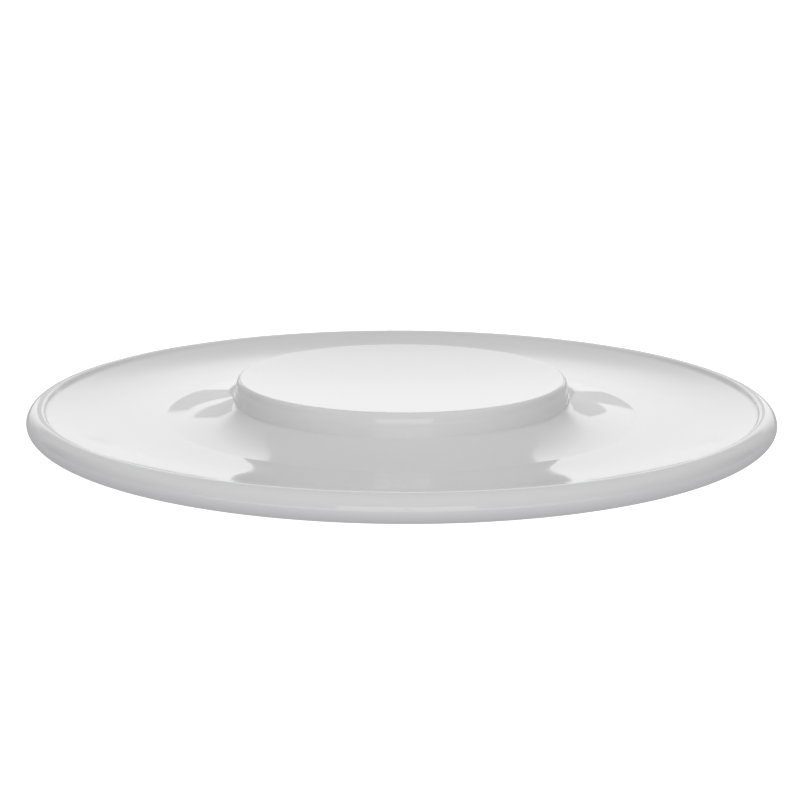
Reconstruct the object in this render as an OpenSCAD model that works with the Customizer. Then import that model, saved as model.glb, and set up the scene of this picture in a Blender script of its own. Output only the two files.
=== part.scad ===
// Lazy susan turntable: a glazed porcelain tray with a raised centre, resting on a ball-bearing base.
// Millimetres. +Z is up, the axis of rotation is Z, and z = 0 is the surface the rubber feet stand on.

/* [Tray] */
// Radius of the tray at its widest
tray_r = 200; // [195:1:210]
// Clear height between the table and the lowest point of the tray
tray_lift = 11; // [11:0.5:13]
// Height of the rim bead, from its lowest point to its crest
rim_h = 16.5; // [16:0.5:18]
// Depth of the trough below the crest of the rim
trough_depth = 8; // [8:0.5:9]
// Thickness of the tray's floor
floor_t = 6; // [5.5:0.5:6.5]
// Radius of the raised centre just under its lip
hub_r = 89.5; // [89:0.5:92]
// Height of the raised centre above the trough
hub_h = 20; // [19.5:0.5:22]
// Depth of the shallow dish in the raised centre
dish_depth = 4; // [2:0.5:4]
// Lean of the raised centre's side, in degrees
hub_draft = 2; // [1:1:5]

/* [Bearing] */
// Radius of the circle that the ball centres lie on
pitch_r = 64; // [63.5:0.5:64]
// Radius of each steel ball
ball_r = 3; // [2.9:0.05:3]
// Number of balls
ball_count = 30; // [18:1:32]
// Gap between a ball and the groove it runs in
ball_gap = 0.08; // [0.05:0.01:0.15]
// Radius of the spindle
spindle_r = 4; // [3.8:0.1:4.2]
// Radial running clearance of the spindle in its bush
bush_gap = 0.05; // [0.03:0.01:0.08]

/* [Base] */
// Radius of the base
base_r = 112; // [111:1:115]
// Wall thickness of the moulded base and carrier
wall = 2.5; // [2.2:0.1:2.8]
// Number of rubber feet, and of the screws that hold the bottom cover
foot_count = 6; // [4:1:8]
// Radius of each rubber foot
foot_r = 9; // [7:0.5:9]
// Number of screws in each race
race_screw_count = 4; // [3:1:6]
// Number of stiffening ribs under the base and the carrier
rib_count = 12; // [6:1:12]
// Number of pads that centre the tray on the carrier
pad_count = 6; // [3:1:8]

/* [Hidden] */
$fn = 96;

// Overlap of solids that are joined, and how far a cutting shape reaches past what it cuts
eps = 0.01;
overcut = 1;
// Reach of ribs and bosses into the walls they join
join = 0.5;
// Longer than anything is tall
through = 60;

// Heights of the tray
crest_z = tray_lift + rim_h;
trough_z = crest_z - trough_depth;
under_z = trough_z - floor_t;
lip_z = trough_z + hub_h;

// Rim bead: the crest, its rounding inside and outside, and the curve under it
crest_r = tray_r - 8;
bead_drop = 7;
crest_inner_round = 2;
inner_wall_angle = 62;
inner_fillet = 2.8;
foot_outer_r = tray_r - 18;
foot_inner_r = tray_r - 22;
under_rim_r = tray_r - 29;
under_rim_pull = 3;

// Floor: a flat ring, then a rise to the fillet inside the rim that steepens as a power of the radius
trough_r = tray_r - 73;
trough_flat_w = 7;
rise_r = trough_r + trough_flat_w;
floor_end_slope = 14;
floor_power = 2.5;
// Mean steepness of the whole rise
floor_pitch = tan(floor_end_slope) / floor_power;
// Height and radius that the fillet and the rounding leave for the straight wall between them
wall_room_h = trough_depth - crest_inner_round * (1 - cos(inner_wall_angle))
    - inner_fillet * (cos(floor_end_slope) - cos(inner_wall_angle));
wall_foot_r = crest_r - crest_inner_round * sin(inner_wall_angle)
    - inner_fillet * (sin(inner_wall_angle) - sin(floor_end_slope));
floor_end_r = (wall_foot_r - (wall_room_h + floor_pitch * rise_r) / tan(inner_wall_angle))
    / (1 - floor_pitch / tan(inner_wall_angle));

// Raised centre: the rounding of its lip, its base fillet, and the shell under it
hub_edge_w = 3;
hub_edge_h = 7;
hub_fillet_h = 8;
hub_fillet_side_pull = 0.4;
hub_fillet_floor_pull = 0.55;
hub_fillet_end_slope = 2.5;
hub_shell_t = 6;
cavity_r = 83.5;
cavity_top_r = 81.5;
cavity_round = 5;
mouth_round = 4;
dish_r = hub_r - hub_edge_w;

// Base and its bottom cover
base_bottom_z = 1.5;
deck_z = 8.5;
cover_t = 2;
cover_z = base_bottom_z + cover_t;
cover_gap = 0.3;
cover_r = base_r - wall - cover_gap;
base_edge_round = 2.5;
cover_screw_r = base_r - 11;
foot_pos_r = base_r - 14;
foot_recess = 1;
foot_round = 1;
foot_gap = 0.1;
rib_t = 2;

// Ball bearing: two races with facing grooves and a cage between them
ball_z = 13;
groove_r = ball_r + ball_gap;
race_half_w = 5;
race_shoulder = 1.5;
race_flange_t = 1.5;
race_flange_w = 6.3;
head_gap = 0.4;
upper_seat_z = ball_z + (ball_z - deck_z);
cage_half_w = 4;
cage_t = 2.2;
pocket_gap = 0.15;

// Carrier that turns with the tray
carrier_r = 110;
carrier_wall_r = 78;
carrier_top_z = 27;
wall_round = 3;
lip_round = 2;
lip_gap = 0.8;
flange_top_z = under_z - 1;
lip_drop_z = deck_z + lip_gap;
seat_t = 2.5;
grip_inner_r = 96;
grip_w = 5;
grip_depth = 1.2;
grip_gap = 0.05;
grip_round = 1;
pad_w = 16;
pad_h = 7;
pad_z = 16;
pad_in_wall = 1.2;
pad_out_r = 81.6;
pad_clear = 0.05;

// Spindle, its bush and the stack that holds the carrier down
boss_r = 12;
base_boss_top_z = 12;
hex_r = 7.5;
hex_h = 2.5;
hex_gap = 0.05;
spindle_head_z = cover_z + 0.1;
bush_wall = 2;
bush_flange_t = 1;
bush_flange_r = 8;
bush_end_gap = 0.1;
bush_lift = 0.5;
bush_z = base_boss_top_z + bush_lift;
well_r = 14;
well_z = 22.5;
washer_t = 0.8;
washer_r = 9;
washer_gap = 0.1;
spring_t = 0.4;
spring_h = 0.9;
spring_r = 8.4;
spring_gap = 0.2;
clip_t = 0.9;
clip_r = 7.2;
clip_gap = 0.05;
clip_z = well_z + washer_t + spring_h + clip_gap;
clip_groove_r = spindle_r - 1;
clip_mouth_w = 1.6 * clip_groove_r;
clip_hole_r = 1.1;
clip_hole_pos_r = clip_groove_r + 1.2;
clip_hole_angle = 115;
spindle_chamfer = 0.6;
spindle_top_z = clip_z + clip_t + spindle_chamfer;
cap_t = 1.2;
cap_rim_r = 16;
cap_skirt_h = 2.2;
cap_gap = 0.1;

// Screws and brass inserts
screw_r = 1.5;
screw_hole_r = 1.65;
head_r = 2.8;
head_h = 1.6;
insert_r = 2.3;
insert_h = 4;
insert_end_gap = 1;
screw_boss_r = 4.2;
screw_end_gap = 0.3;
race_screw_len = race_flange_t + insert_h - screw_end_gap;
lower_screw_r = pitch_r - race_half_w - head_r - head_gap;
upper_screw_r = pitch_r + race_half_w + head_r + head_gap;
cover_head_r = 3;
cover_head_h = 1.7;
cover_head_gap = 0.05;
cover_screw_len = 5.2;
recess_l = 3.2;
recess_w = 0.7;
recess_h = 0.9;

// Points of an arc, or of an elliptical arc, from angle a0 to a1
function arc(c, r, a0, a1, n = 10) = ellipse_arc(c, r, r, a0, a1, n);
function ellipse_arc(c, rx, ry, a0, a1, n = 10) =
    [for (i = [0:n]) let (a = a0 + (a1 - a0) * i / n) [c[0] + rx * cos(a), c[1] + ry * sin(a)]];

// Points of a cubic Bezier curve
function bezier(p0, p1, p2, p3, n = 12) =
    [for (i = [0:n]) let (t = i / n, s = 1 - t)
        s * s * s * p0 + 3 * s * s * t * p1 + 3 * s * t * t * p2 + t * t * t * p3];

// The same points without the first, which the curve before them already ends on
function after_first(points) = [for (i = [1:len(points) - 1]) points[i]];

// Height of the dish above its own centre, at radius r
function dish(r) = dish_depth * pow(r / dish_r, 2);

// Height of the floor above the trough, at radius r
function floor_rise(r) =
    let (rise_w = floor_end_r - rise_r)
    r < rise_r ? 0 : floor_pitch * rise_w * pow((r - rise_r) / rise_w, floor_power);

// Outline of the tray's upper surface, from the axis out to the crest of the rim
function tray_top() = concat(dish_outline(), hub_side(), floor_outline(), rim_inside());

function dish_outline() =
    [for (i = [0:16]) let (r = dish_r * i / 17) [r, lip_z - dish_depth + dish(r)]];

// Lip, side and base fillet of the raised centre
function hub_side() =
    let (
        lip_start = 90 + atan(2 * dish_depth / dish_r * hub_edge_w / hub_edge_h),
        lip = ellipse_arc([dish_r, lip_z - hub_edge_h], hub_edge_w, hub_edge_h, lip_start, 0, 9),
        side_h = hub_h - hub_edge_h - hub_fillet_h,
        side_end = [hub_r + side_h * tan(hub_draft), trough_z + hub_fillet_h],
        fillet_end = [trough_r, trough_z],
        side_pull = hub_fillet_side_pull * hub_fillet_h * [sin(hub_draft), -cos(hub_draft)],
        fillet_w = fillet_end[0] - side_end[0],
        floor_pull = hub_fillet_floor_pull * fillet_w * [1, -tan(hub_fillet_end_slope)]
    )
    concat(lip, bezier(side_end, side_end + side_pull, fillet_end - floor_pull, fillet_end, 20));

function floor_outline() =
    [for (i = [0:12]) let (r = rise_r + (floor_end_r - rise_r) * i / 12)
        [r, trough_z + floor_rise(r)]];

// Fillet and rounding that carry the floor up to the crest of the rim
function rim_inside() =
    let (
        floor_end = [floor_end_r, trough_z + floor_rise(floor_end_r)],
        fillet_c = floor_end + inner_fillet * [-sin(floor_end_slope), cos(floor_end_slope)],
        crest_c = [crest_r, crest_z - crest_inner_round]
    )
    concat(
        after_first(arc(fillet_c, inner_fillet, floor_end_slope - 90, inner_wall_angle - 90, 8)),
        arc(crest_c, crest_inner_round, 90 + inner_wall_angle, 90, 6)
    );

// Outline of the rim's outside and of the tray's underside, from the crest in to the axis
function tray_under() =
    let (
        widest_z = crest_z - bead_drop,
        ceiling_z = lip_z - dish_depth - hub_shell_t,
        ceiling_r = cavity_top_r - cavity_round
    )
    concat(
        after_first(ellipse_arc([crest_r, widest_z], tray_r - crest_r, bead_drop, 90, 0, 10)),
        after_first(ellipse_arc([foot_outer_r, widest_z], tray_r - foot_outer_r, rim_h - bead_drop,
                                0, -90, 12)),
        bezier([foot_inner_r, tray_lift], [foot_inner_r - under_rim_pull, tray_lift],
               [under_rim_r + under_rim_pull, under_z], [under_rim_r, under_z], 8),
        arc([cavity_r + mouth_round, under_z + mouth_round], mouth_round, -90, -180, 8),
        arc([ceiling_r, ceiling_z + dish(ceiling_r) - cavity_round], cavity_round, 0, 90, 8),
        [for (i = [9:-1:0]) let (r = ceiling_r * i / 10) [r, ceiling_z + dish(r)]]
    );

// One fine-thread machine screw, head down at z = 0 and shank up, with a cross recess
module screw(length, countersunk = false) {
    difference() {
        union() {
            if (countersunk) cylinder(h = cover_head_h, r1 = cover_head_r, r2 = screw_r);
            else cylinder(h = head_h, r = head_r);
            cylinder(h = (countersunk ? cover_head_h : head_h) + length, r = screw_r);
        }
        for (a = [0, 90]) rotate(a)
            translate([-recess_l / 2, -recess_w / 2, -eps]) cube([recess_l, recess_w, recess_h + eps]);
    }
}

// Places its children count times round the axis, at radius r
module ring_of(count, r, offset_angle = 0) {
    for (i = [0:count - 1])
        rotate(offset_angle + i * 360 / count) translate([r, 0, 0]) children();
}

// Radial ribs between two walls
module ribs(from_r, to_r, bottom_z, top_z, offset_angle = 0) {
    ring_of(rib_count, from_r - join, offset_angle) translate([0, -rib_t / 2, bottom_z])
        cube([to_r - from_r + 2 * join, rib_t, top_z - bottom_z]);
}

// A flat ring
module ring(outer, inner, h) {
    difference() {
        cylinder(h = h, r = outer);
        translate([0, 0, -overcut]) cylinder(h = h + 2 * overcut, r = inner);
    }
}

// One race, groove up, standing on z = 0, with its flange inside (-1) or outside (1)
module race(flange_side, screw_pos_r) {
    centre_z = ball_z - deck_z;
    flange_inner = flange_side < 0 ? pitch_r - race_half_w - race_flange_w : pitch_r;
    flange_outer = flange_side < 0 ? pitch_r : pitch_r + race_half_w + race_flange_w;
    difference() {
        union() {
            ring(pitch_r + race_half_w, pitch_r - race_half_w, centre_z - race_shoulder);
            ring(flange_outer, flange_inner, race_flange_t);
        }
        translate([0, 0, centre_z]) rotate_extrude()
            translate([pitch_r, 0]) circle(r = groove_r);
        ring_of(race_screw_count, screw_pos_r)
            translate([0, 0, -overcut]) cylinder(h = race_flange_t + 2 * overcut, r = screw_hole_r);
    }
}

module tray() {
    color("white") rotate_extrude() polygon(concat(tray_top(), tray_under()));
}

module carrier() {
    flange_z = flange_top_z - wall;
    inner_r = carrier_wall_r - wall;
    roof_z = carrier_top_z - wall;
    hub_z = bush_z + bush_flange_t;
    color("gainsboro") difference() {
        union() {
            // Outer wall and top deck, with a rounded edge
            rotate_extrude() polygon(concat(
                [[0, roof_z], [0, carrier_top_z]],
                arc([carrier_wall_r - wall_round, carrier_top_z - wall_round], wall_round, 90, 0, 6),
                [[carrier_wall_r, flange_z], [inner_r, flange_z], [inner_r, roof_z]]
            ));
            // Flange with a turned-down lip
            rotate_extrude() polygon(concat(
                [[inner_r, flange_z], [inner_r, flange_top_z]],
                arc([carrier_r - lip_round, flange_top_z - lip_round], lip_round, 90, 0, 6),
                [[carrier_r, lip_drop_z], [carrier_r - wall, lip_drop_z], [carrier_r - wall, flange_z]]
            ));
            // Seat for the upper race, hub for the bush, and the ribs between them
            translate([0, 0, upper_seat_z])
                ring(inner_r + eps, pitch_r - race_half_w, seat_t);
            translate([0, 0, hub_z]) cylinder(h = roof_z - hub_z + eps, r = boss_r);
            translate([0, 0, well_z - wall]) cylinder(h = carrier_top_z - well_z, r = well_r + wall);
            ribs(boss_r, inner_r, upper_seat_z + seat_t - join, roof_z + join, 180 / rib_count);
            ring_of(race_screw_count, upper_screw_r)
                translate([0, 0, upper_seat_z]) cylinder(h = roof_z - upper_seat_z + eps, r = screw_boss_r);
        }
        // Well over the spindle, bore for the bush, and the grip ring's groove
        translate([0, 0, well_z]) cylinder(h = through, r = well_r);
        cylinder(h = through, r = spindle_r + bush_gap + bush_wall);
        translate([0, 0, flange_top_z - grip_depth])
            ring(grip_inner_r + grip_w, grip_inner_r, grip_depth + overcut);
        ring_of(race_screw_count, upper_screw_r) translate([0, 0, upper_seat_z - overcut])
            cylinder(h = overcut + insert_h + insert_end_gap, r = insert_r);
        ring_of(pad_count, carrier_wall_r - pad_in_wall) translate([0, -pad_w / 2, pad_z])
            cube([pad_in_wall + overcut, pad_w, pad_h]);
    }
}

module grip_ring() {
    bottom_z = flange_top_z - grip_depth;
    round_z = under_z - grip_round;
    color("dimgray") rotate_extrude() polygon(concat(
        [[grip_inner_r + grip_gap, bottom_z]],
        arc([grip_inner_r + grip_round, round_z], grip_round - grip_gap, 180, 90, 5),
        arc([grip_inner_r + grip_w - grip_round, round_z], grip_round - grip_gap, 90, 0, 5),
        [[grip_inner_r + grip_w - grip_gap, bottom_z]]
    ));
}

module centring_pads() {
    inner_r = carrier_wall_r - pad_in_wall;
    color("dimgray") intersection() {
        ring_of(pad_count, inner_r) translate([0, pad_clear - pad_w / 2, pad_z + pad_clear])
            cube([pad_out_r - inner_r + overcut, pad_w - 2 * pad_clear, pad_h - 2 * pad_clear]);
        cylinder(h = through, r = pad_out_r);
    }
}

module spindle_cap() {
    skirt_r = well_r - cap_gap;
    color("silver") {
        translate([0, 0, carrier_top_z]) rotate_extrude()
            polygon(concat([[0, 0]], arc([cap_rim_r - cap_t, 0], cap_t, 0, 90, 6), [[0, cap_t]]));
        translate([0, 0, carrier_top_z - cap_skirt_h])
            ring(skirt_r, skirt_r - cap_t, cap_skirt_h + eps);
    }
}

module thrust_washer() {
    color("ivory") translate([0, 0, well_z]) ring(washer_r, spindle_r + washer_gap, washer_t);
}

module disc_spring() {
    color("silver") translate([0, 0, well_z + washer_t]) rotate_extrude()
        polygon([[spindle_r + spring_gap, spring_h - spring_t], [spindle_r + spring_gap, spring_h],
                 [spring_r, spring_t], [spring_r, 0]]);
}

module bush() {
    color("peru") translate([0, 0, bush_z]) difference() {
        union() {
            cylinder(h = bush_flange_t, r = bush_flange_r);
            cylinder(h = well_z - bush_z - bush_end_gap, r = spindle_r + bush_gap + bush_wall);
        }
        translate([0, 0, -overcut]) cylinder(h = through, r = spindle_r + bush_gap);
    }
}

module upper_race() {
    color("silver") translate([0, 0, upper_seat_z]) mirror([0, 0, 1]) race(1, upper_screw_r);
}

module upper_race_screws() {
    color("gray") ring_of(race_screw_count, upper_screw_r)
        translate([0, 0, upper_seat_z - race_flange_t - head_h]) screw(race_screw_len);
}

module upper_inserts() {
    color("goldenrod") ring_of(race_screw_count, upper_screw_r)
        translate([0, 0, upper_seat_z]) ring(insert_r, screw_r, insert_h);
}

module ball_cage() {
    color("ivory") translate([0, 0, ball_z - cage_t / 2]) difference() {
        ring(pitch_r + cage_half_w, pitch_r - cage_half_w, cage_t);
        ring_of(ball_count, pitch_r)
            translate([0, 0, -overcut])
                cylinder(h = cage_t + 2 * overcut, r = ball_r + pocket_gap);
    }
}

module bearing_balls() {
    color("silver") ring_of(ball_count, pitch_r) translate([0, 0, ball_z]) sphere(r = ball_r);
}

module lower_race() {
    color("silver") translate([0, 0, deck_z]) race(-1, lower_screw_r);
}

module lower_race_screws() {
    color("gray") ring_of(race_screw_count, lower_screw_r)
        translate([0, 0, deck_z + race_flange_t + head_h]) mirror([0, 0, 1]) screw(race_screw_len);
}

module lower_inserts() {
    color("goldenrod") ring_of(race_screw_count, lower_screw_r)
        translate([0, 0, deck_z - insert_h]) ring(insert_r, screw_r, insert_h);
}

module spindle() {
    shoulder_z = spindle_top_z - spindle_chamfer;
    color("silver") difference() {
        union() {
            translate([0, 0, spindle_head_z]) cylinder(h = hex_h, r = hex_r - hex_gap, $fn = 6);
            translate([0, 0, spindle_head_z])
                cylinder(h = shoulder_z - spindle_head_z, r = spindle_r);
            translate([0, 0, shoulder_z])
                cylinder(h = spindle_chamfer, r1 = spindle_r, r2 = spindle_r - spindle_chamfer);
        }
        translate([0, 0, clip_z - clip_gap])
            ring(spindle_r + overcut, clip_groove_r, clip_t + 2 * clip_gap);
    }
}

module retaining_clip() {
    color("gray") translate([0, 0, clip_z]) linear_extrude(clip_t) difference() {
        circle(r = clip_r);
        circle(r = clip_groove_r + clip_gap);
        translate([0, -clip_mouth_w / 2]) square([clip_r + overcut, clip_mouth_w]);
        for (side = [-1, 1]) rotate(side * clip_hole_angle)
            translate([clip_hole_pos_r, 0]) circle(r = clip_hole_r);
    }
}

module base_shell() {
    inner_r = base_r - wall;
    under_deck_z = deck_z - wall;
    color("whitesmoke") difference() {
        union() {
            // Deck and skirt, with a rounded edge
            rotate_extrude() polygon(concat(
                [[0, under_deck_z], [0, deck_z]],
                arc([base_r - base_edge_round, deck_z - base_edge_round], base_edge_round, 90, 0, 8),
                [[base_r, base_bottom_z], [inner_r, base_bottom_z], [inner_r, under_deck_z]]
            ));
            translate([0, 0, cover_z]) cylinder(h = base_boss_top_z - cover_z, r = boss_r);
            ribs(boss_r, inner_r, cover_z, under_deck_z + join);
            ring_of(race_screw_count, lower_screw_r) translate([0, 0, cover_z])
                cylinder(h = under_deck_z + join - cover_z, r = screw_boss_r);
            ring_of(foot_count, cover_screw_r, 180 / foot_count) translate([0, 0, cover_z])
                cylinder(h = under_deck_z + join - cover_z, r = screw_boss_r);
        }
        // Hexagonal pocket and bore for the spindle, holes for inserts and cover screws
        translate([0, 0, cover_z - overcut])
            cylinder(h = spindle_head_z + hex_h - cover_z + overcut, r = hex_r, $fn = 6);
        cylinder(h = through, r = spindle_r);
        ring_of(race_screw_count, lower_screw_r)
            translate([0, 0, deck_z - insert_h]) cylinder(h = insert_h + overcut, r = insert_r);
        ring_of(foot_count, cover_screw_r, 180 / foot_count)
            cylinder(h = base_bottom_z + cover_screw_len + screw_end_gap, r = screw_r);
    }
}

module base_cover() {
    color("gainsboro") difference() {
        translate([0, 0, base_bottom_z]) cylinder(h = cover_t, r = cover_r);
        ring_of(foot_count, foot_pos_r)
            cylinder(h = base_bottom_z + foot_recess, r = foot_r + foot_gap);
        ring_of(foot_count, cover_screw_r, 180 / foot_count) {
            translate([0, 0, base_bottom_z])
                cylinder(h = cover_head_h, r1 = cover_head_r + cover_head_gap, r2 = screw_r + cover_head_gap);
            cylinder(h = through, r = screw_hole_r);
        }
    }
}

module cover_screws() {
    color("gray") ring_of(foot_count, cover_screw_r, 180 / foot_count)
        translate([0, 0, base_bottom_z]) screw(cover_screw_len - cover_head_h, true);
}

module rubber_feet() {
    h = base_bottom_z + foot_recess;
    color("dimgray") ring_of(foot_count, foot_pos_r) rotate_extrude() polygon(concat(
        [[0, 0]], arc([foot_r - foot_round, foot_round], foot_round, -90, 0, 5), [[foot_r, h], [0, h]]
    ));
}

tray();
carrier();
grip_ring();
centring_pads();
spindle_cap();
thrust_washer();
disc_spring();
bush();
upper_race();
upper_race_screws();
upper_inserts();
ball_cage();
bearing_balls();
lower_race();
lower_race_screws();
lower_inserts();
spindle();
retaining_clip();
base_shell();
base_cover();
cover_screws();
rubber_feet();
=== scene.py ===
"""Lazy susan turntable: the glazed tray, the looks of every part, the studio and the camera.

Lengths are in metres. Heights and radii that describe the tray are written in millimetres and
turned into metres by MM, because the tray's outline is drawn in millimetres.
"""

import math

import bmesh
import bpy
from mathutils import Matrix, Vector

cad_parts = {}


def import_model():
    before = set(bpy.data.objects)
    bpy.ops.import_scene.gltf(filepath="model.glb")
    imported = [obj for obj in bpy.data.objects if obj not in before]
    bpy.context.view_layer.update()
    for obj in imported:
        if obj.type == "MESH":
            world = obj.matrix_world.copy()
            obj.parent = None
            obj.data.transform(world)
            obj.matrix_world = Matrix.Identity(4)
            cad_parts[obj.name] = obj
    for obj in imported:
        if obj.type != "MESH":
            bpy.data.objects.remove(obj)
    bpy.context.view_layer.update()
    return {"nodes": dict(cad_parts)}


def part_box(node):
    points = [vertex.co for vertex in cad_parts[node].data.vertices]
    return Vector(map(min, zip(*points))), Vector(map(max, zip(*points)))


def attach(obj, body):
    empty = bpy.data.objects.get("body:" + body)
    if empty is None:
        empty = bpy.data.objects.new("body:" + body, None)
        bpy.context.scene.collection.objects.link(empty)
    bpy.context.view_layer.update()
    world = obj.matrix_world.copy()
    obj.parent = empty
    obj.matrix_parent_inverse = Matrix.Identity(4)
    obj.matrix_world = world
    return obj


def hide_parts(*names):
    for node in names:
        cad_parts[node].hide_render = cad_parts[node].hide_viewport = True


MM = 0.001

# Tray outline, in millimetres above the tray's own lowest point
TRAY_R = 199.95
RIM_H = 16.5
TROUGH_DEPTH = 8.0
FLOOR_T = 6.0
HUB_R = 89.5
HUB_H = 20.0
HUB_EDGE_W = 3.0
HUB_EDGE_H = 7.0
HUB_DRAFT = math.radians(2)
HUB_FILLET_H = 8.0
HUB_FILLET_SIDE_PULL = 0.4
HUB_FILLET_FLOOR_PULL = 0.55
HUB_FILLET_END_SLOPE = math.radians(2.5)
HUB_SHELL_T = 6.0
DISH_DEPTH = 4.0
DISH_R = HUB_R - HUB_EDGE_W
# Share of the dish's radius that is drawn before the lip's own curve begins
DISH_DRAWN = 0.985
TROUGH_R = TRAY_R - 73.0
RISE_R = TROUGH_R + 7.0
FLOOR_END_SLOPE = math.radians(14)
FLOOR_POWER = 2.5
CREST_R = TRAY_R - 8.0
BEAD_DROP = 7.0
CREST_INNER_ROUND = 2.0
INNER_WALL_ANGLE = math.radians(62)
INNER_FILLET = 2.8
FOOT_OUTER_R = TRAY_R - 18.0
FOOT_INNER_R = TRAY_R - 22.0
UNDER_RIM_R = TRAY_R - 29.0
UNDER_RIM_PULL = 3.0
# Width at each side of the flat underside that is left free of points
UNDER_MARGIN = 4.0
CAVITY_R = 83.5
CAVITY_TOP_R = 81.5
CAVITY_ROUND = 5.0
MOUTH_ROUND = 4.0

TROUGH_Z = RIM_H - TROUGH_DEPTH
UNDER_Z = TROUGH_Z - FLOOR_T
LIP_Z = TROUGH_Z + HUB_H
# Mean steepness of the floor's rise to the rim
FLOOR_PITCH = math.tan(FLOOR_END_SLOPE) / FLOOR_POWER

TRAY_SEGMENTS = 384
# Width over which the fillet's end turns into the flat of the trough
CREASE = 0.3
# Height of the slow unevenness that firing leaves in the glaze, and the level it starts above
GLAZE_WAVE = 0.006
GLAZE_WAVE_START = UNDER_Z + 1


# ---------------------------------------------------------------- outline helpers

def ellipse_arc(centre, rx, ry, start, end, steps):
    """Points of an elliptical arc between two angles in degrees."""
    points = []
    for i in range(steps + 1):
        a = math.radians(start + (end - start) * i / steps)
        points.append((centre[0] + rx * math.cos(a), centre[1] + ry * math.sin(a)))
    return points


def bezier(p0, p1, p2, p3, steps):
    """Points of a cubic Bezier curve."""
    points = []
    for i in range(steps + 1):
        t = i / steps
        s = 1 - t
        weights = (s * s * s, 3 * s * s * t, 3 * s * t * t, t * t * t)
        points.append(tuple(sum(w * p[k] for w, p in zip(weights, (p0, p1, p2, p3))) for k in (0, 1)))
    return points


def spread(start, end, steps):
    """Evenly spaced values from start to end, both included."""
    return [start + (end - start) * i / steps for i in range(steps + 1)]


def without_repeats(points, shortest=0.02):
    """The same outline with points closer than the shortest edge left out."""
    kept = [points[0]]
    for p in points[1:]:
        if math.dist(p, kept[-1]) > shortest:
            kept.append(p)
    return kept


# ---------------------------------------------------------------- tray

def dish(r):
    """Height of the shallow dish in the raised centre over its middle."""
    return DISH_DEPTH * (r / DISH_R) ** 2


def floor_end_radius():
    """Radius where the rising floor meets the fillet, so that the wall above it stays straight."""
    wall_room = (
        TROUGH_DEPTH
        - CREST_INNER_ROUND * (1 - math.cos(INNER_WALL_ANGLE))
        - INNER_FILLET * (math.cos(FLOOR_END_SLOPE) - math.cos(INNER_WALL_ANGLE))
    )
    wall_foot_r = (
        CREST_R
        - CREST_INNER_ROUND * math.sin(INNER_WALL_ANGLE)
        - INNER_FILLET * (math.sin(INNER_WALL_ANGLE) - math.sin(FLOOR_END_SLOPE))
    )
    run = 1 / math.tan(INNER_WALL_ANGLE)
    return (wall_foot_r - (wall_room + FLOOR_PITCH * RISE_R) * run) / (1 - FLOOR_PITCH * run)


FLOOR_END_R = floor_end_radius()


def floor_rise(r):
    """Height of the floor over the flat of the trough."""
    if r < RISE_R:
        return 0.0
    span = FLOOR_END_R - RISE_R
    return FLOOR_PITCH * span * ((r - RISE_R) / span) ** FLOOR_POWER


def dish_outline():
    return [(r, LIP_Z - DISH_DEPTH + dish(r)) for r in spread(0, DISH_R * DISH_DRAWN, 40)]


def hub_side_outline():
    """Lip, side and base fillet of the raised centre."""
    lip_start = 90 + math.degrees(math.atan(2 * DISH_DEPTH / DISH_R * HUB_EDGE_W / HUB_EDGE_H))
    lip = ellipse_arc((DISH_R, LIP_Z - HUB_EDGE_H), HUB_EDGE_W, HUB_EDGE_H, lip_start, 0, 26)
    side_h = HUB_H - HUB_EDGE_H - HUB_FILLET_H
    side_end = (HUB_R + side_h * math.tan(HUB_DRAFT), TROUGH_Z + HUB_FILLET_H)
    side_run = side_end[0] - HUB_R
    side = [(HUB_R + side_run * k, LIP_Z - HUB_EDGE_H - side_h * k) for k in spread(0.2, 0.8, 4)]
    fillet_end = (TROUGH_R, TROUGH_Z)
    pull = HUB_FILLET_SIDE_PULL * HUB_FILLET_H
    side_pull = (side_end[0] + pull * math.sin(HUB_DRAFT), side_end[1] - pull * math.cos(HUB_DRAFT))
    run = HUB_FILLET_FLOOR_PULL * (fillet_end[0] - side_end[0])
    floor_pull = (fillet_end[0] - run, TROUGH_Z + run * math.tan(HUB_FILLET_END_SLOPE))
    return lip + side + bezier(side_end, side_pull, floor_pull, fillet_end, 60)


def floor_outline():
    flat = [(r, TROUGH_Z) for r in spread(TROUGH_R + CREASE, RISE_R - CREASE, 4)]
    return flat + [(r, TROUGH_Z + floor_rise(r)) for r in spread(RISE_R, FLOOR_END_R, 60)]


def rim_inside_outline():
    """Fillet and rounding that carry the floor up to the crest of the rim."""
    floor_end = (FLOOR_END_R, TROUGH_Z + floor_rise(FLOOR_END_R))
    fillet_c = (
        floor_end[0] - INNER_FILLET * math.sin(FLOOR_END_SLOPE),
        floor_end[1] + INNER_FILLET * math.cos(FLOOR_END_SLOPE),
    )
    slope = math.degrees(FLOOR_END_SLOPE)
    wall = math.degrees(INNER_WALL_ANGLE)
    fillet = ellipse_arc(fillet_c, INNER_FILLET, INNER_FILLET, slope - 88, wall - 90, 16)
    crest_c = (CREST_R, RIM_H - CREST_INNER_ROUND)
    crest = ellipse_arc(crest_c, CREST_INNER_ROUND, CREST_INNER_ROUND, 90 + wall, 90, 14)
    return fillet + crest


def rim_outside_outline():
    """From the crest over the widest point to the ring that the tray stands on by itself."""
    outer = ellipse_arc((CREST_R, RIM_H - BEAD_DROP), TRAY_R - CREST_R, BEAD_DROP, 84, 0, 24)
    under = ellipse_arc(
        (FOOT_OUTER_R, RIM_H - BEAD_DROP), TRAY_R - FOOT_OUTER_R, RIM_H - BEAD_DROP, -4, -90, 30
    )
    return outer + under


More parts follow.
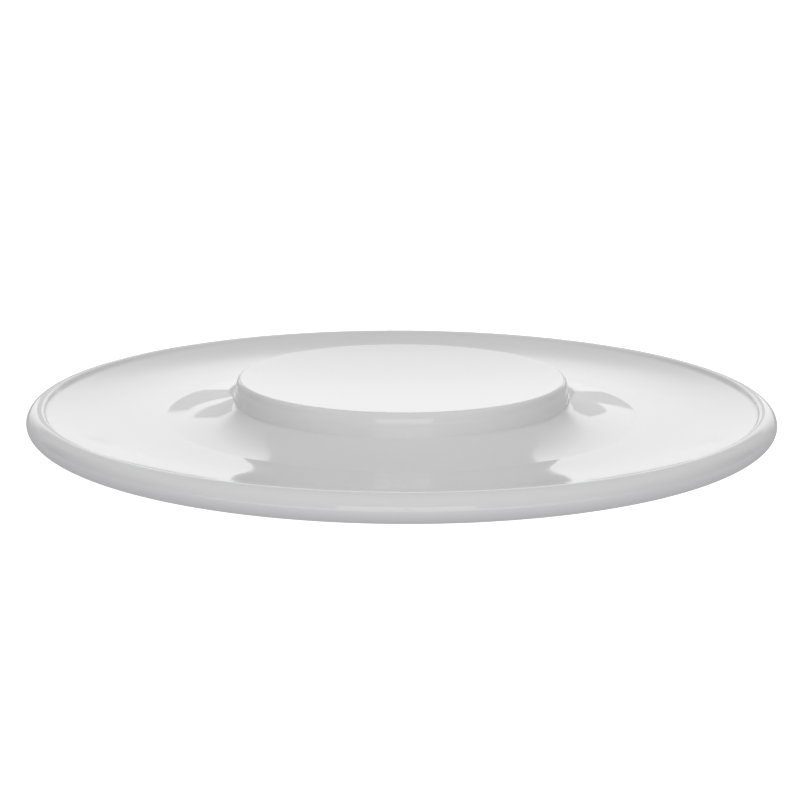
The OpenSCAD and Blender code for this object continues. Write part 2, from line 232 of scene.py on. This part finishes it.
def underside_outline():
    """Step up from the foot ring, flat underside, and the hollow under the raised centre."""
    foot = (FOOT_INNER_R, 0)
    under = (UNDER_RIM_R, UNDER_Z)
    step = bezier(foot, (foot[0] - UNDER_RIM_PULL, 0), (under[0] + UNDER_RIM_PULL, UNDER_Z), under, 12)
    mouth_c = (CAVITY_R + MOUTH_ROUND, UNDER_Z + MOUTH_ROUND)
    flat = [(r, UNDER_Z) for r in spread(under[0] - UNDER_MARGIN, mouth_c[0] + UNDER_MARGIN, 16)]
    mouth = ellipse_arc(mouth_c, MOUTH_ROUND, MOUTH_ROUND, -90, -180, 10)
    ceiling_z = LIP_Z - DISH_DEPTH - HUB_SHELL_T
    ceiling_r = CAVITY_TOP_R - CAVITY_ROUND
    corner_c = (ceiling_r, ceiling_z + dish(ceiling_r) - CAVITY_ROUND)
    corner = ellipse_arc(corner_c, CAVITY_ROUND, CAVITY_ROUND, 0, 90, 12)
    ceiling = [(r, ceiling_z + dish(r)) for r in spread(ceiling_r * 0.95, 0, 20)]
    return step + flat + mouth + corner + ceiling


def tray_outline():
    """Half of the tray's section, from the middle of the dish round to the middle of the underside.

    Several stretches start or stop a little short of where they meet the next, so that no edge is tiny.
    """
    return without_repeats(
        dish_outline()
        + hub_side_outline()
        + floor_outline()
        + rim_inside_outline()
        + rim_outside_outline()
        + underside_outline()
    )


def glaze_wave(x, y):
    """Slow unevenness of the fired glaze: waves of three lengths, crossing at angles, in millimetres."""
    return GLAZE_WAVE * (
        math.sin(x / 17.0 + 1.3 * math.sin(y / 31.0))
        + 0.8 * math.sin(y / 14.0 + 1.1 * math.sin(x / 23.0) + 0.7)
        + 0.6 * math.sin((x + y) / 9.5 + 2.1)
    )


def lathe(name, outline, segments, lowest_z):
    """A closed solid of revolution from an outline that starts and ends on the axis.

    A point on the axis becomes a single vertex, so the faces beside it are triangles.
    """
    bm = bmesh.new()
    rings = []
    for r, z in outline:
        if r < 1e-6:
            rings.append([bm.verts.new((0, 0, lowest_z + z * MM))])
            continue
        ring = []
        for i in range(segments):
            a = 2 * math.pi * i / segments
            x, y = r * math.cos(a), r * math.sin(a)
            ring.append(bm.verts.new((x * MM, y * MM, lowest_z + z * MM)))
        rings.append(ring)
    for inner, outer in zip(rings, rings[1:]):
        for i in range(segments):
            j = (i + 1) % segments
            near = (inner[i % len(inner)], outer[i % len(outer)])
            far = (outer[j % len(outer)], inner[j % len(inner)])
            bm.faces.new(list(dict.fromkeys(near + far)))
    bmesh.ops.recalc_face_normals(bm, faces=bm.faces)
    mesh = bpy.data.meshes.new(name)
    bm.to_mesh(mesh)
    bm.free()
    mesh.shade_smooth()
    piece = bpy.data.objects.new(name, mesh)
    bpy.context.scene.collection.objects.link(piece)
    return piece


def make_tray():
    """The porcelain tray, with its glazed upper side a little uneven."""
    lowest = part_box("tray")[0].z
    tray = lathe("porcelain_tray", tray_outline(), TRAY_SEGMENTS, lowest)
    for v in tray.data.vertices:
        x, y, z = v.co / MM
        if z - lowest / MM > GLAZE_WAVE_START:
            v.co.z += min(glaze_wave(x, y), 0) * MM
    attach(tray, "tray")
    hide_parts("tray")
    return tray


# ---------------------------------------------------------------- materials

def mix_colors(nodes, links, factor, first, second):
    """A blend of two colours, each either three numbers or the output of another node."""
    node = nodes.new("ShaderNodeMix")
    node.data_type = "RGBA"
    sockets = {s.identifier: s for s in node.inputs}
    for socket, color in ((sockets["A_Color"], first), (sockets["B_Color"], second)):
        if isinstance(color, tuple):
            socket.default_value = (*color, 1)
        else:
            links.new(color, socket)
    links.new(factor, sockets["Factor_Float"])
    return next(s for s in node.outputs if s.identifier == "Result_Color")


class Shader:
    """A Principled material and short ways to add what varies over its surface."""

    def __init__(self, name, color, roughness, **sockets):
        self.material = bpy.data.materials.new(name)
        self.material.use_nodes = True
        self.nodes = self.material.node_tree.nodes
        self.links = self.material.node_tree.links
        self.bsdf = self.nodes["Principled BSDF"]
        self.bsdf.inputs["Base Color"].default_value = (*color, 1)
        self.bsdf.inputs["Roughness"].default_value = roughness
        for socket, value in sockets.items():
            self.bsdf.inputs[socket.replace("_", " ")].default_value = value
        self.place = self.nodes.new("ShaderNodeTexCoord").outputs["Object"]
        self.normal = None

    def noise(self, size, detail=2.0, stretch=(1, 1, 1)):
        """Noise whose features are about size metres across."""
        mapping = self.nodes.new("ShaderNodeMapping")
        mapping.inputs["Scale"].default_value = stretch
        texture = self.nodes.new("ShaderNodeTexNoise")
        texture.inputs["Scale"].default_value = 1 / size
        texture.inputs["Detail"].default_value = detail
        self.links.new(self.place, mapping.inputs["Vector"])
        self.links.new(mapping.outputs["Vector"], texture.inputs["Vector"])
        return texture.outputs["Fac"]

    def rings(self, size, distortion=0.5):
        """Fine circles round the Z axis, as turning or grinding leaves."""
        texture = self.nodes.new("ShaderNodeTexWave")
        texture.wave_type = "RINGS"
        texture.rings_direction = "Z"
        texture.inputs["Scale"].default_value = 1 / size
        texture.inputs["Distortion"].default_value = distortion
        texture.inputs["Detail"].default_value = 2
        self.links.new(self.place, texture.inputs["Vector"])
        return texture.outputs["Fac"]

    def ramp(self, value, low, high, start=0.35, end=0.65):
        """A value spread between two limits."""
        node = self.nodes.new("ShaderNodeMapRange")
        node.inputs["From Min"].default_value = start
        node.inputs["From Max"].default_value = end
        node.inputs["To Min"].default_value = low
        node.inputs["To Max"].default_value = high
        self.links.new(value, node.inputs["Value"])
        return node.outputs["Result"]

    def mix_color(self, factor, first, second):
        return mix_colors(self.nodes, self.links, factor, first, second)

    def color(self, value):
        self.links.new(value, self.bsdf.inputs["Base Color"])

    def roughness(self, value):
        self.links.new(value, self.bsdf.inputs["Roughness"])

    def bump(self, height, depth, strength=1.0):
        """Adds relief of the given depth in metres on top of what is there."""
        node = self.nodes.new("ShaderNodeBump")
        node.inputs["Distance"].default_value = depth
        node.inputs["Strength"].default_value = strength
        self.links.new(height, node.inputs["Height"])
        if self.normal is not None:
            self.links.new(self.normal, node.inputs["Normal"])
        self.normal = node.outputs["Normal"]
        self.links.new(self.normal, self.bsdf.inputs["Normal"])


def porcelain():
    s = Shader("porcelain_glaze", (0.87, 0.87, 0.88), 0.05, IOR=1.5)
    tint = s.ramp(s.noise(0.06, 3), 0, 1)
    s.color(s.mix_color(tint, (0.868, 0.868, 0.876), (0.880, 0.878, 0.882)))
    s.roughness(s.ramp(s.noise(0.02, 4), 0.035, 0.065))
    s.bump(s.noise(0.012, 1), 0.00001)
    s.bump(s.noise(0.0012, 2), 0.0000015)
    return s.material


def moulded_plastic(name, color, roughness, grain=0.0006):
    s = Shader(name, color, roughness, IOR=1.46)
    darker = tuple(0.94 * c for c in color)
    s.color(s.mix_color(s.ramp(s.noise(0.03, 3), 0, 1), color, darker))
    s.roughness(s.ramp(s.noise(0.008, 4), roughness - 0.06, roughness + 0.06))
    s.bump(s.noise(grain, 3), 0.00004)
    return s.material


def soft_rubber(name, color):
    s = Shader(name, color, 0.75, IOR=1.42)
    dusty = tuple(c + 0.05 for c in color)
    s.color(s.mix_color(s.ramp(s.noise(0.006, 5), 0, 1, 0.45, 0.75), color, dusty))
    s.roughness(s.ramp(s.noise(0.004, 3), 0.68, 0.85))
    s.bump(s.noise(0.0005, 3), 0.00003)
    return s.material


def ground_steel(name, color, roughness, line=0.0009):
    s = Shader(name, color, roughness, Metallic=1.0)
    duller = tuple(0.86 * c for c in color)
    s.color(s.mix_color(s.ramp(s.noise(0.01, 4), 0, 1), color, duller))
    s.roughness(s.ramp(s.noise(0.003, 4), roughness - 0.05, roughness + 0.08))
    s.bump(s.rings(line), 0.000004)
    return s.material


def polished_steel(name):
    s = Shader(name, (0.78, 0.78, 0.79), 0.08, Metallic=1.0)
    s.roughness(s.ramp(s.noise(0.002, 4), 0.05, 0.14))
    s.bump(s.noise(0.0008, 2), 0.0000008)
    return s.material


def plated_steel(name, color, roughness):
    s = Shader(name, color, roughness, Metallic=1.0)
    warmer = (color[0], 0.97 * color[1], 0.88 * color[2])
    s.color(s.mix_color(s.ramp(s.noise(0.002, 4), 0, 1), color, warmer))
    s.roughness(s.ramp(s.noise(0.001, 3), roughness - 0.06, roughness + 0.1))
    s.bump(s.noise(0.0004, 3), 0.000006)
    return s.material


def sintered_bronze():
    s = Shader("sintered_bronze", (0.58, 0.37, 0.18), 0.42, Metallic=1.0)
    pores = s.ramp(s.noise(0.0003, 4), 0, 1, 0.35, 0.5)
    s.color(s.mix_color(pores, (0.25, 0.15, 0.08), (0.60, 0.39, 0.19)))
    s.bump(s.noise(0.0003, 4), 0.00002)
    return s.material


def dress_cad_parts(frame):
    """Gives every CAD node that stays in view its finished material."""
    base = moulded_plastic("base_plastic", (0.74, 0.74, 0.73), 0.48)
    carrier = moulded_plastic("carrier_plastic", (0.66, 0.66, 0.65), 0.42)
    nylon = moulded_plastic("natural_nylon", (0.76, 0.73, 0.64), 0.32, 0.0012)
    silicone = soft_rubber("silicone", (0.16, 0.16, 0.165))
    rubber = soft_rubber("foot_rubber", (0.045, 0.045, 0.046))
    race = ground_steel("race_steel", (0.60, 0.60, 0.61), 0.22)
    ball = polished_steel("ball_steel")
    zinc = plated_steel("zinc_plate", (0.62, 0.63, 0.65), 0.28)
    brass = plated_steel("insert_brass", (0.76, 0.57, 0.26), 0.25)
    looks = {
        base: ("base_shell", "base_cover"),
        carrier: ("carrier", "spindle_cap"),
        nylon: ("ball_cage", "thrust_washer"),
        silicone: ("grip_ring", "centring_pads"),
        rubber: ("rubber_feet",),
        race: ("upper_race", "lower_race", "spindle"),
        ball: ("bearing_balls",),
        zinc: ("upper_race_screws", "lower_race_screws", "cover_screws", "retaining_clip", "disc_spring"),
        brass: ("upper_inserts", "lower_inserts"),
        sintered_bronze(): ("bush",),
    }
    for material, names in looks.items():
        for name in names:
            frame["nodes"][name].data.materials.clear()
            frame["nodes"][name].data.materials.append(material)


# ---------------------------------------------------------------- studio

# Radiance of the backdrop by elevation in degrees, as seen from the object
BACKDROP = (
    (-2, 1.15), (3, 1.25), (7, 1.4), (13, 1.49), (18, 1.46), (20.5, 1.38),
    (22.5, 1.22), (25, 1.0), (27.5, 0.84), (30, 0.73), (35, 0.62), (42, 0.56),
)
# Degrees to either side over which the backdrop fades into the room, low down
BACKDROP_EDGE = (18, 34)
# Degrees by which the backdrop narrows between two elevations
BACKDROP_TAPER = 13
TAPER_ELEVATIONS = (14, 22)
ROOM_HORIZON = 0.48
ROOM_ZENITH = 0.73
# The room's dark sides: their radiance, where they start and end, and the elevations they fade between
ROOM_SIDE = 0.05
SIDE_START = (40, 58)
SIDE_END = (100, 130)
SIDE_TOP = (15, 50)
BLACK = (0.0, 0.0, 0.0)
FLOOR_GREY = (0.85, 0.85, 0.85)
TABLE_GREY = (0.02, 0.02, 0.02)
TABLE_LIGHT = (0.42, 0.415, 0.43)
SOFTBOX_RADIANCE = 1.8
SOFTBOX_DISTANCE = 3.0
SOFTBOX_WIDTH = 1.0
SOFTBOX_HEIGHT = 1.2
# Gap between the two softboxes, and how far they stand to the right and above the table
SOFTBOX_GAP = 0.03
SOFTBOX_OFFSET = 0.08
SOFTBOX_LIFT = 0.02
# Point on the object that the softboxes face
AIM_POINT = (0, 0, 0.03)
FLOOR_HALF = 30
# Small heights that keep the floor, the table under it and the sheet on it apart
TABLE_DROP = 0.0002
SHEET_LIFT = 0.0001
SHEET_NEAR = 0.26
SHEET_FAR = 2.0
SHEET_HALF_WIDTH = 0.7
SHEET_GLOW = (1.9, 1.9, 1.92)
CARD_DISTANCE = 3.0
CARD_GLOW = (0.79, 0.79, 0.80)


def world_light():
    """A bright backdrop low behind the object, and a dimmer room round the rest."""
    world = bpy.data.worlds.new("studio")
    bpy.context.scene.world = world
    world.use_nodes = True
    nodes, links = world.node_tree.nodes, world.node_tree.links
    background = nodes["Background"]
    split = nodes.new("ShaderNodeSeparateXYZ")
    links.new(nodes.new("ShaderNodeTexCoord").outputs["Generated"], split.inputs["Vector"])
    brightest = max(level for _, level in BACKDROP)

    def grey(level):
        return (level / brightest,) * 3

    def spread_out(value, start, end, smooth=False):
        node = nodes.new("ShaderNodeMapRange")
        node.interpolation_type = "SMOOTHSTEP" if smooth else "LINEAR"
        node.inputs["From Min"].default_value = start
        node.inputs["From Max"].default_value = end
        links.new(value, node.inputs["Value"])
        return node.outputs["Result"]

    def mix(factor, first, second):
        return mix_colors(nodes, links, factor, first, second)

    def math_node(operation, *values):
        node = nodes.new("ShaderNodeMath")
        node.operation = operation
        for socket, value in zip(node.inputs, values):
            if isinstance(value, float):
                socket.default_value = value
            else:
                links.new(value, socket)
        return node.outputs["Value"]

    def beyond(value, edges):
        return spread_out(value, math.radians(edges[0]), math.radians(edges[1]), smooth=True)

    def above(elevations):
        return spread_out(split.outputs["Z"], *(math.sin(math.radians(e)) for e in elevations), smooth=True)

    backdrop = nodes.new("ShaderNodeValToRGB")
    stops = backdrop.color_ramp.elements
    while len(stops) < len(BACKDROP):
        stops.new(0.5)
    lowest, highest = (math.sin(math.radians(BACKDROP[k][0])) for k in (0, -1))
    for stop, (elevation, level) in zip(stops, BACKDROP):
        stop.position = (math.sin(math.radians(elevation)) - lowest) / (highest - lowest)
        stop.color = (*grey(level), 1)
    links.new(spread_out(split.outputs["Z"], lowest, highest), backdrop.inputs["Fac"])

    azimuth = math_node("ABSOLUTE", math_node("ARCTAN2", split.outputs["X"], split.outputs["Y"]))
    room = mix(spread_out(split.outputs["Z"], 0, 1), grey(ROOM_HORIZON), grey(ROOM_ZENITH))
    flank = math_node("SUBTRACT", beyond(azimuth, SIDE_START), beyond(azimuth, SIDE_END))
    low_flank = math_node("MULTIPLY", flank, math_node("SUBTRACT", 1.0, above(SIDE_TOP)))
    room = mix(low_flank, room, grey(ROOM_SIDE))
    taper = math_node("MULTIPLY", above(TAPER_ELEVATIONS), math.radians(BACKDROP_TAPER))
    aside = beyond(math_node("ADD", azimuth, taper), BACKDROP_EDGE)
    links.new(mix(aside, backdrop.outputs["Color"], room), background.inputs["Color"])
    background.inputs["Strength"].default_value = brightest


def softbox(name, centre, width, height, radiance):
    """A rectangular light that faces the object, with the power that gives it the radiance."""
    data = bpy.data.lights.new(name, "AREA")
    data.shape = "RECTANGLE"
    data.size = width
    data.size_y = height
    data.energy = radiance * math.pi * width * height
    light = bpy.data.objects.new(name, data)
    light.location = centre
    light.rotation_euler = (Vector(AIM_POINT) - Vector(centre)).to_track_quat("-Z", "Y").to_euler()
    light.visible_camera = False
    bpy.context.scene.collection.objects.link(light)


def softboxes():
    """Two tall panels side by side in front of the object, above and behind the camera."""
    for side in (-1, 1):
        x = side * (SOFTBOX_WIDTH + SOFTBOX_GAP) / 2 + SOFTBOX_OFFSET
        centre = (x, -SOFTBOX_DISTANCE, SOFTBOX_HEIGHT / 2 + SOFTBOX_LIFT)
        softbox(f"softbox_{side}", centre, SOFTBOX_WIDTH, SOFTBOX_HEIGHT, SOFTBOX_RADIANCE)


def flat_shape(name, corners, color, glow):
    """A single flat face for the studio, with a plain glow added to its colour."""
    mesh = bpy.data.meshes.new(name)
    mesh.from_pydata(corners, [], [tuple(range(len(corners)))])
    shape = bpy.data.objects.new(name, mesh)
    bpy.context.scene.collection.objects.link(shape)
    s = Shader(name, color, 0.9, Emission_Strength=1.0)
    s.bsdf.inputs["Emission Color"].default_value = (*glow, 1)
    mesh.materials.append(s.material)
    return shape


def rectangle(half_width, near, far, z):
    """Corners of a level rectangle between two places along Y."""
    return [(-half_width, near, z), (half_width, near, z), (half_width, far, z), (-half_width, far, z)]


def only_in_reflections(shape):
    shape.visible_camera = False
    shape.visible_diffuse = False
    shape.visible_shadow = False


def make_floor():
    """A pale floor for the camera, over a darker table that the object's underside sees."""
    level = rectangle(FLOOR_HALF, -FLOOR_HALF, FLOOR_HALF, 0)
    floor = flat_shape("floor", level, FLOOR_GREY, FLOOR_GREY)
    floor.visible_diffuse = False
    floor.visible_glossy = False
    lower = rectangle(FLOOR_HALF, -FLOOR_HALF, FLOOR_HALF, -TABLE_DROP)
    table = flat_shape("table", lower, TABLE_GREY, TABLE_LIGHT)
    table.visible_camera = False


def card(name, outline):
    """A dim upright card behind the object, seen only in the glaze's reflections.

    The outline is a list of distances to the right of the axis and heights above the table.
    """
    corners = [(x, CARD_DISTANCE, z) for x, z in outline]
    only_in_reflections(flat_shape(name, corners, BLACK, CARD_GLOW))


def side_cards():
    """Two lamp stands and their flags, standing to either side of the backdrop."""
    card("left_stand", (
        (-0.465, 0.00), (-0.465, 0.50), (-0.52, 0.68), (-0.55, 0.69),
        (-0.58, 0.64), (-0.57, 0.55), (-0.57, 0.38), (-0.62, 0.00),
    ))
    card("left_flag", (
        (-0.61, 0.78), (-0.62, 0.55), (-0.65, 0.44), (-0.70, 0.00), (-1.06, 0.00),
        (-1.06, 0.90), (-0.83, 0.95), (-0.73, 0.94), (-0.64, 0.82),
    ))
    card("right_stand", (
        (0.465, 0.00), (0.465, 0.50), (0.52, 0.68), (0.54, 0.65), (0.56, 0.43),
        (0.60, 0.65), (0.70, 0.83), (0.78, 0.83), (0.95, 0.75), (0.95, 0.00),
    ))


def front_sheet():
    """A bright sheet lying on the table in front, mirrored along the rim's lower edge."""
    corners = rectangle(SHEET_HALF_WIDTH, -SHEET_FAR, -SHEET_NEAR, SHEET_LIFT)
    only_in_reflections(flat_shape("front_sheet", corners, BLACK, SHEET_GLOW))


def make_camera(target):
    """Camera at the photograph's distance and angle, aimed at a point on the tray's axis."""
    distance = 1.1
    elevation = math.radians(12.75)
    roll = math.radians(0.24)
    camera_data = bpy.data.cameras.new("camera")
    camera_data.sensor_width = 36
    camera_data.lens = 91.67
    camera_data.shift_x = -0.00225
    camera_data.shift_y = -0.0031
    camera = bpy.data.objects.new("camera", camera_data)
    camera.location = target + Vector((0, -distance * math.cos(elevation), distance * math.sin(elevation)))
    aim = Matrix.Rotation(math.pi / 2 - elevation, 4, "X")
    camera.matrix_world = Matrix.Translation(camera.location) @ aim @ Matrix.Rotation(roll, 4, "Z")
    bpy.context.scene.collection.objects.link(camera)
    bpy.context.scene.camera = camera


# ---------------------------------------------------------------- scene

def main():
    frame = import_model()
    tray = make_tray()
    tray.data.materials.append(porcelain())
    dress_cad_parts(frame)
    world_light()
    softboxes()
    make_floor()
    side_cards()
    front_sheet()
    make_camera(Vector((0, 0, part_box("tray")[0].z + RIM_H * MM)))
    bpy.context.scene.view_settings.view_transform = "Standard"


main()
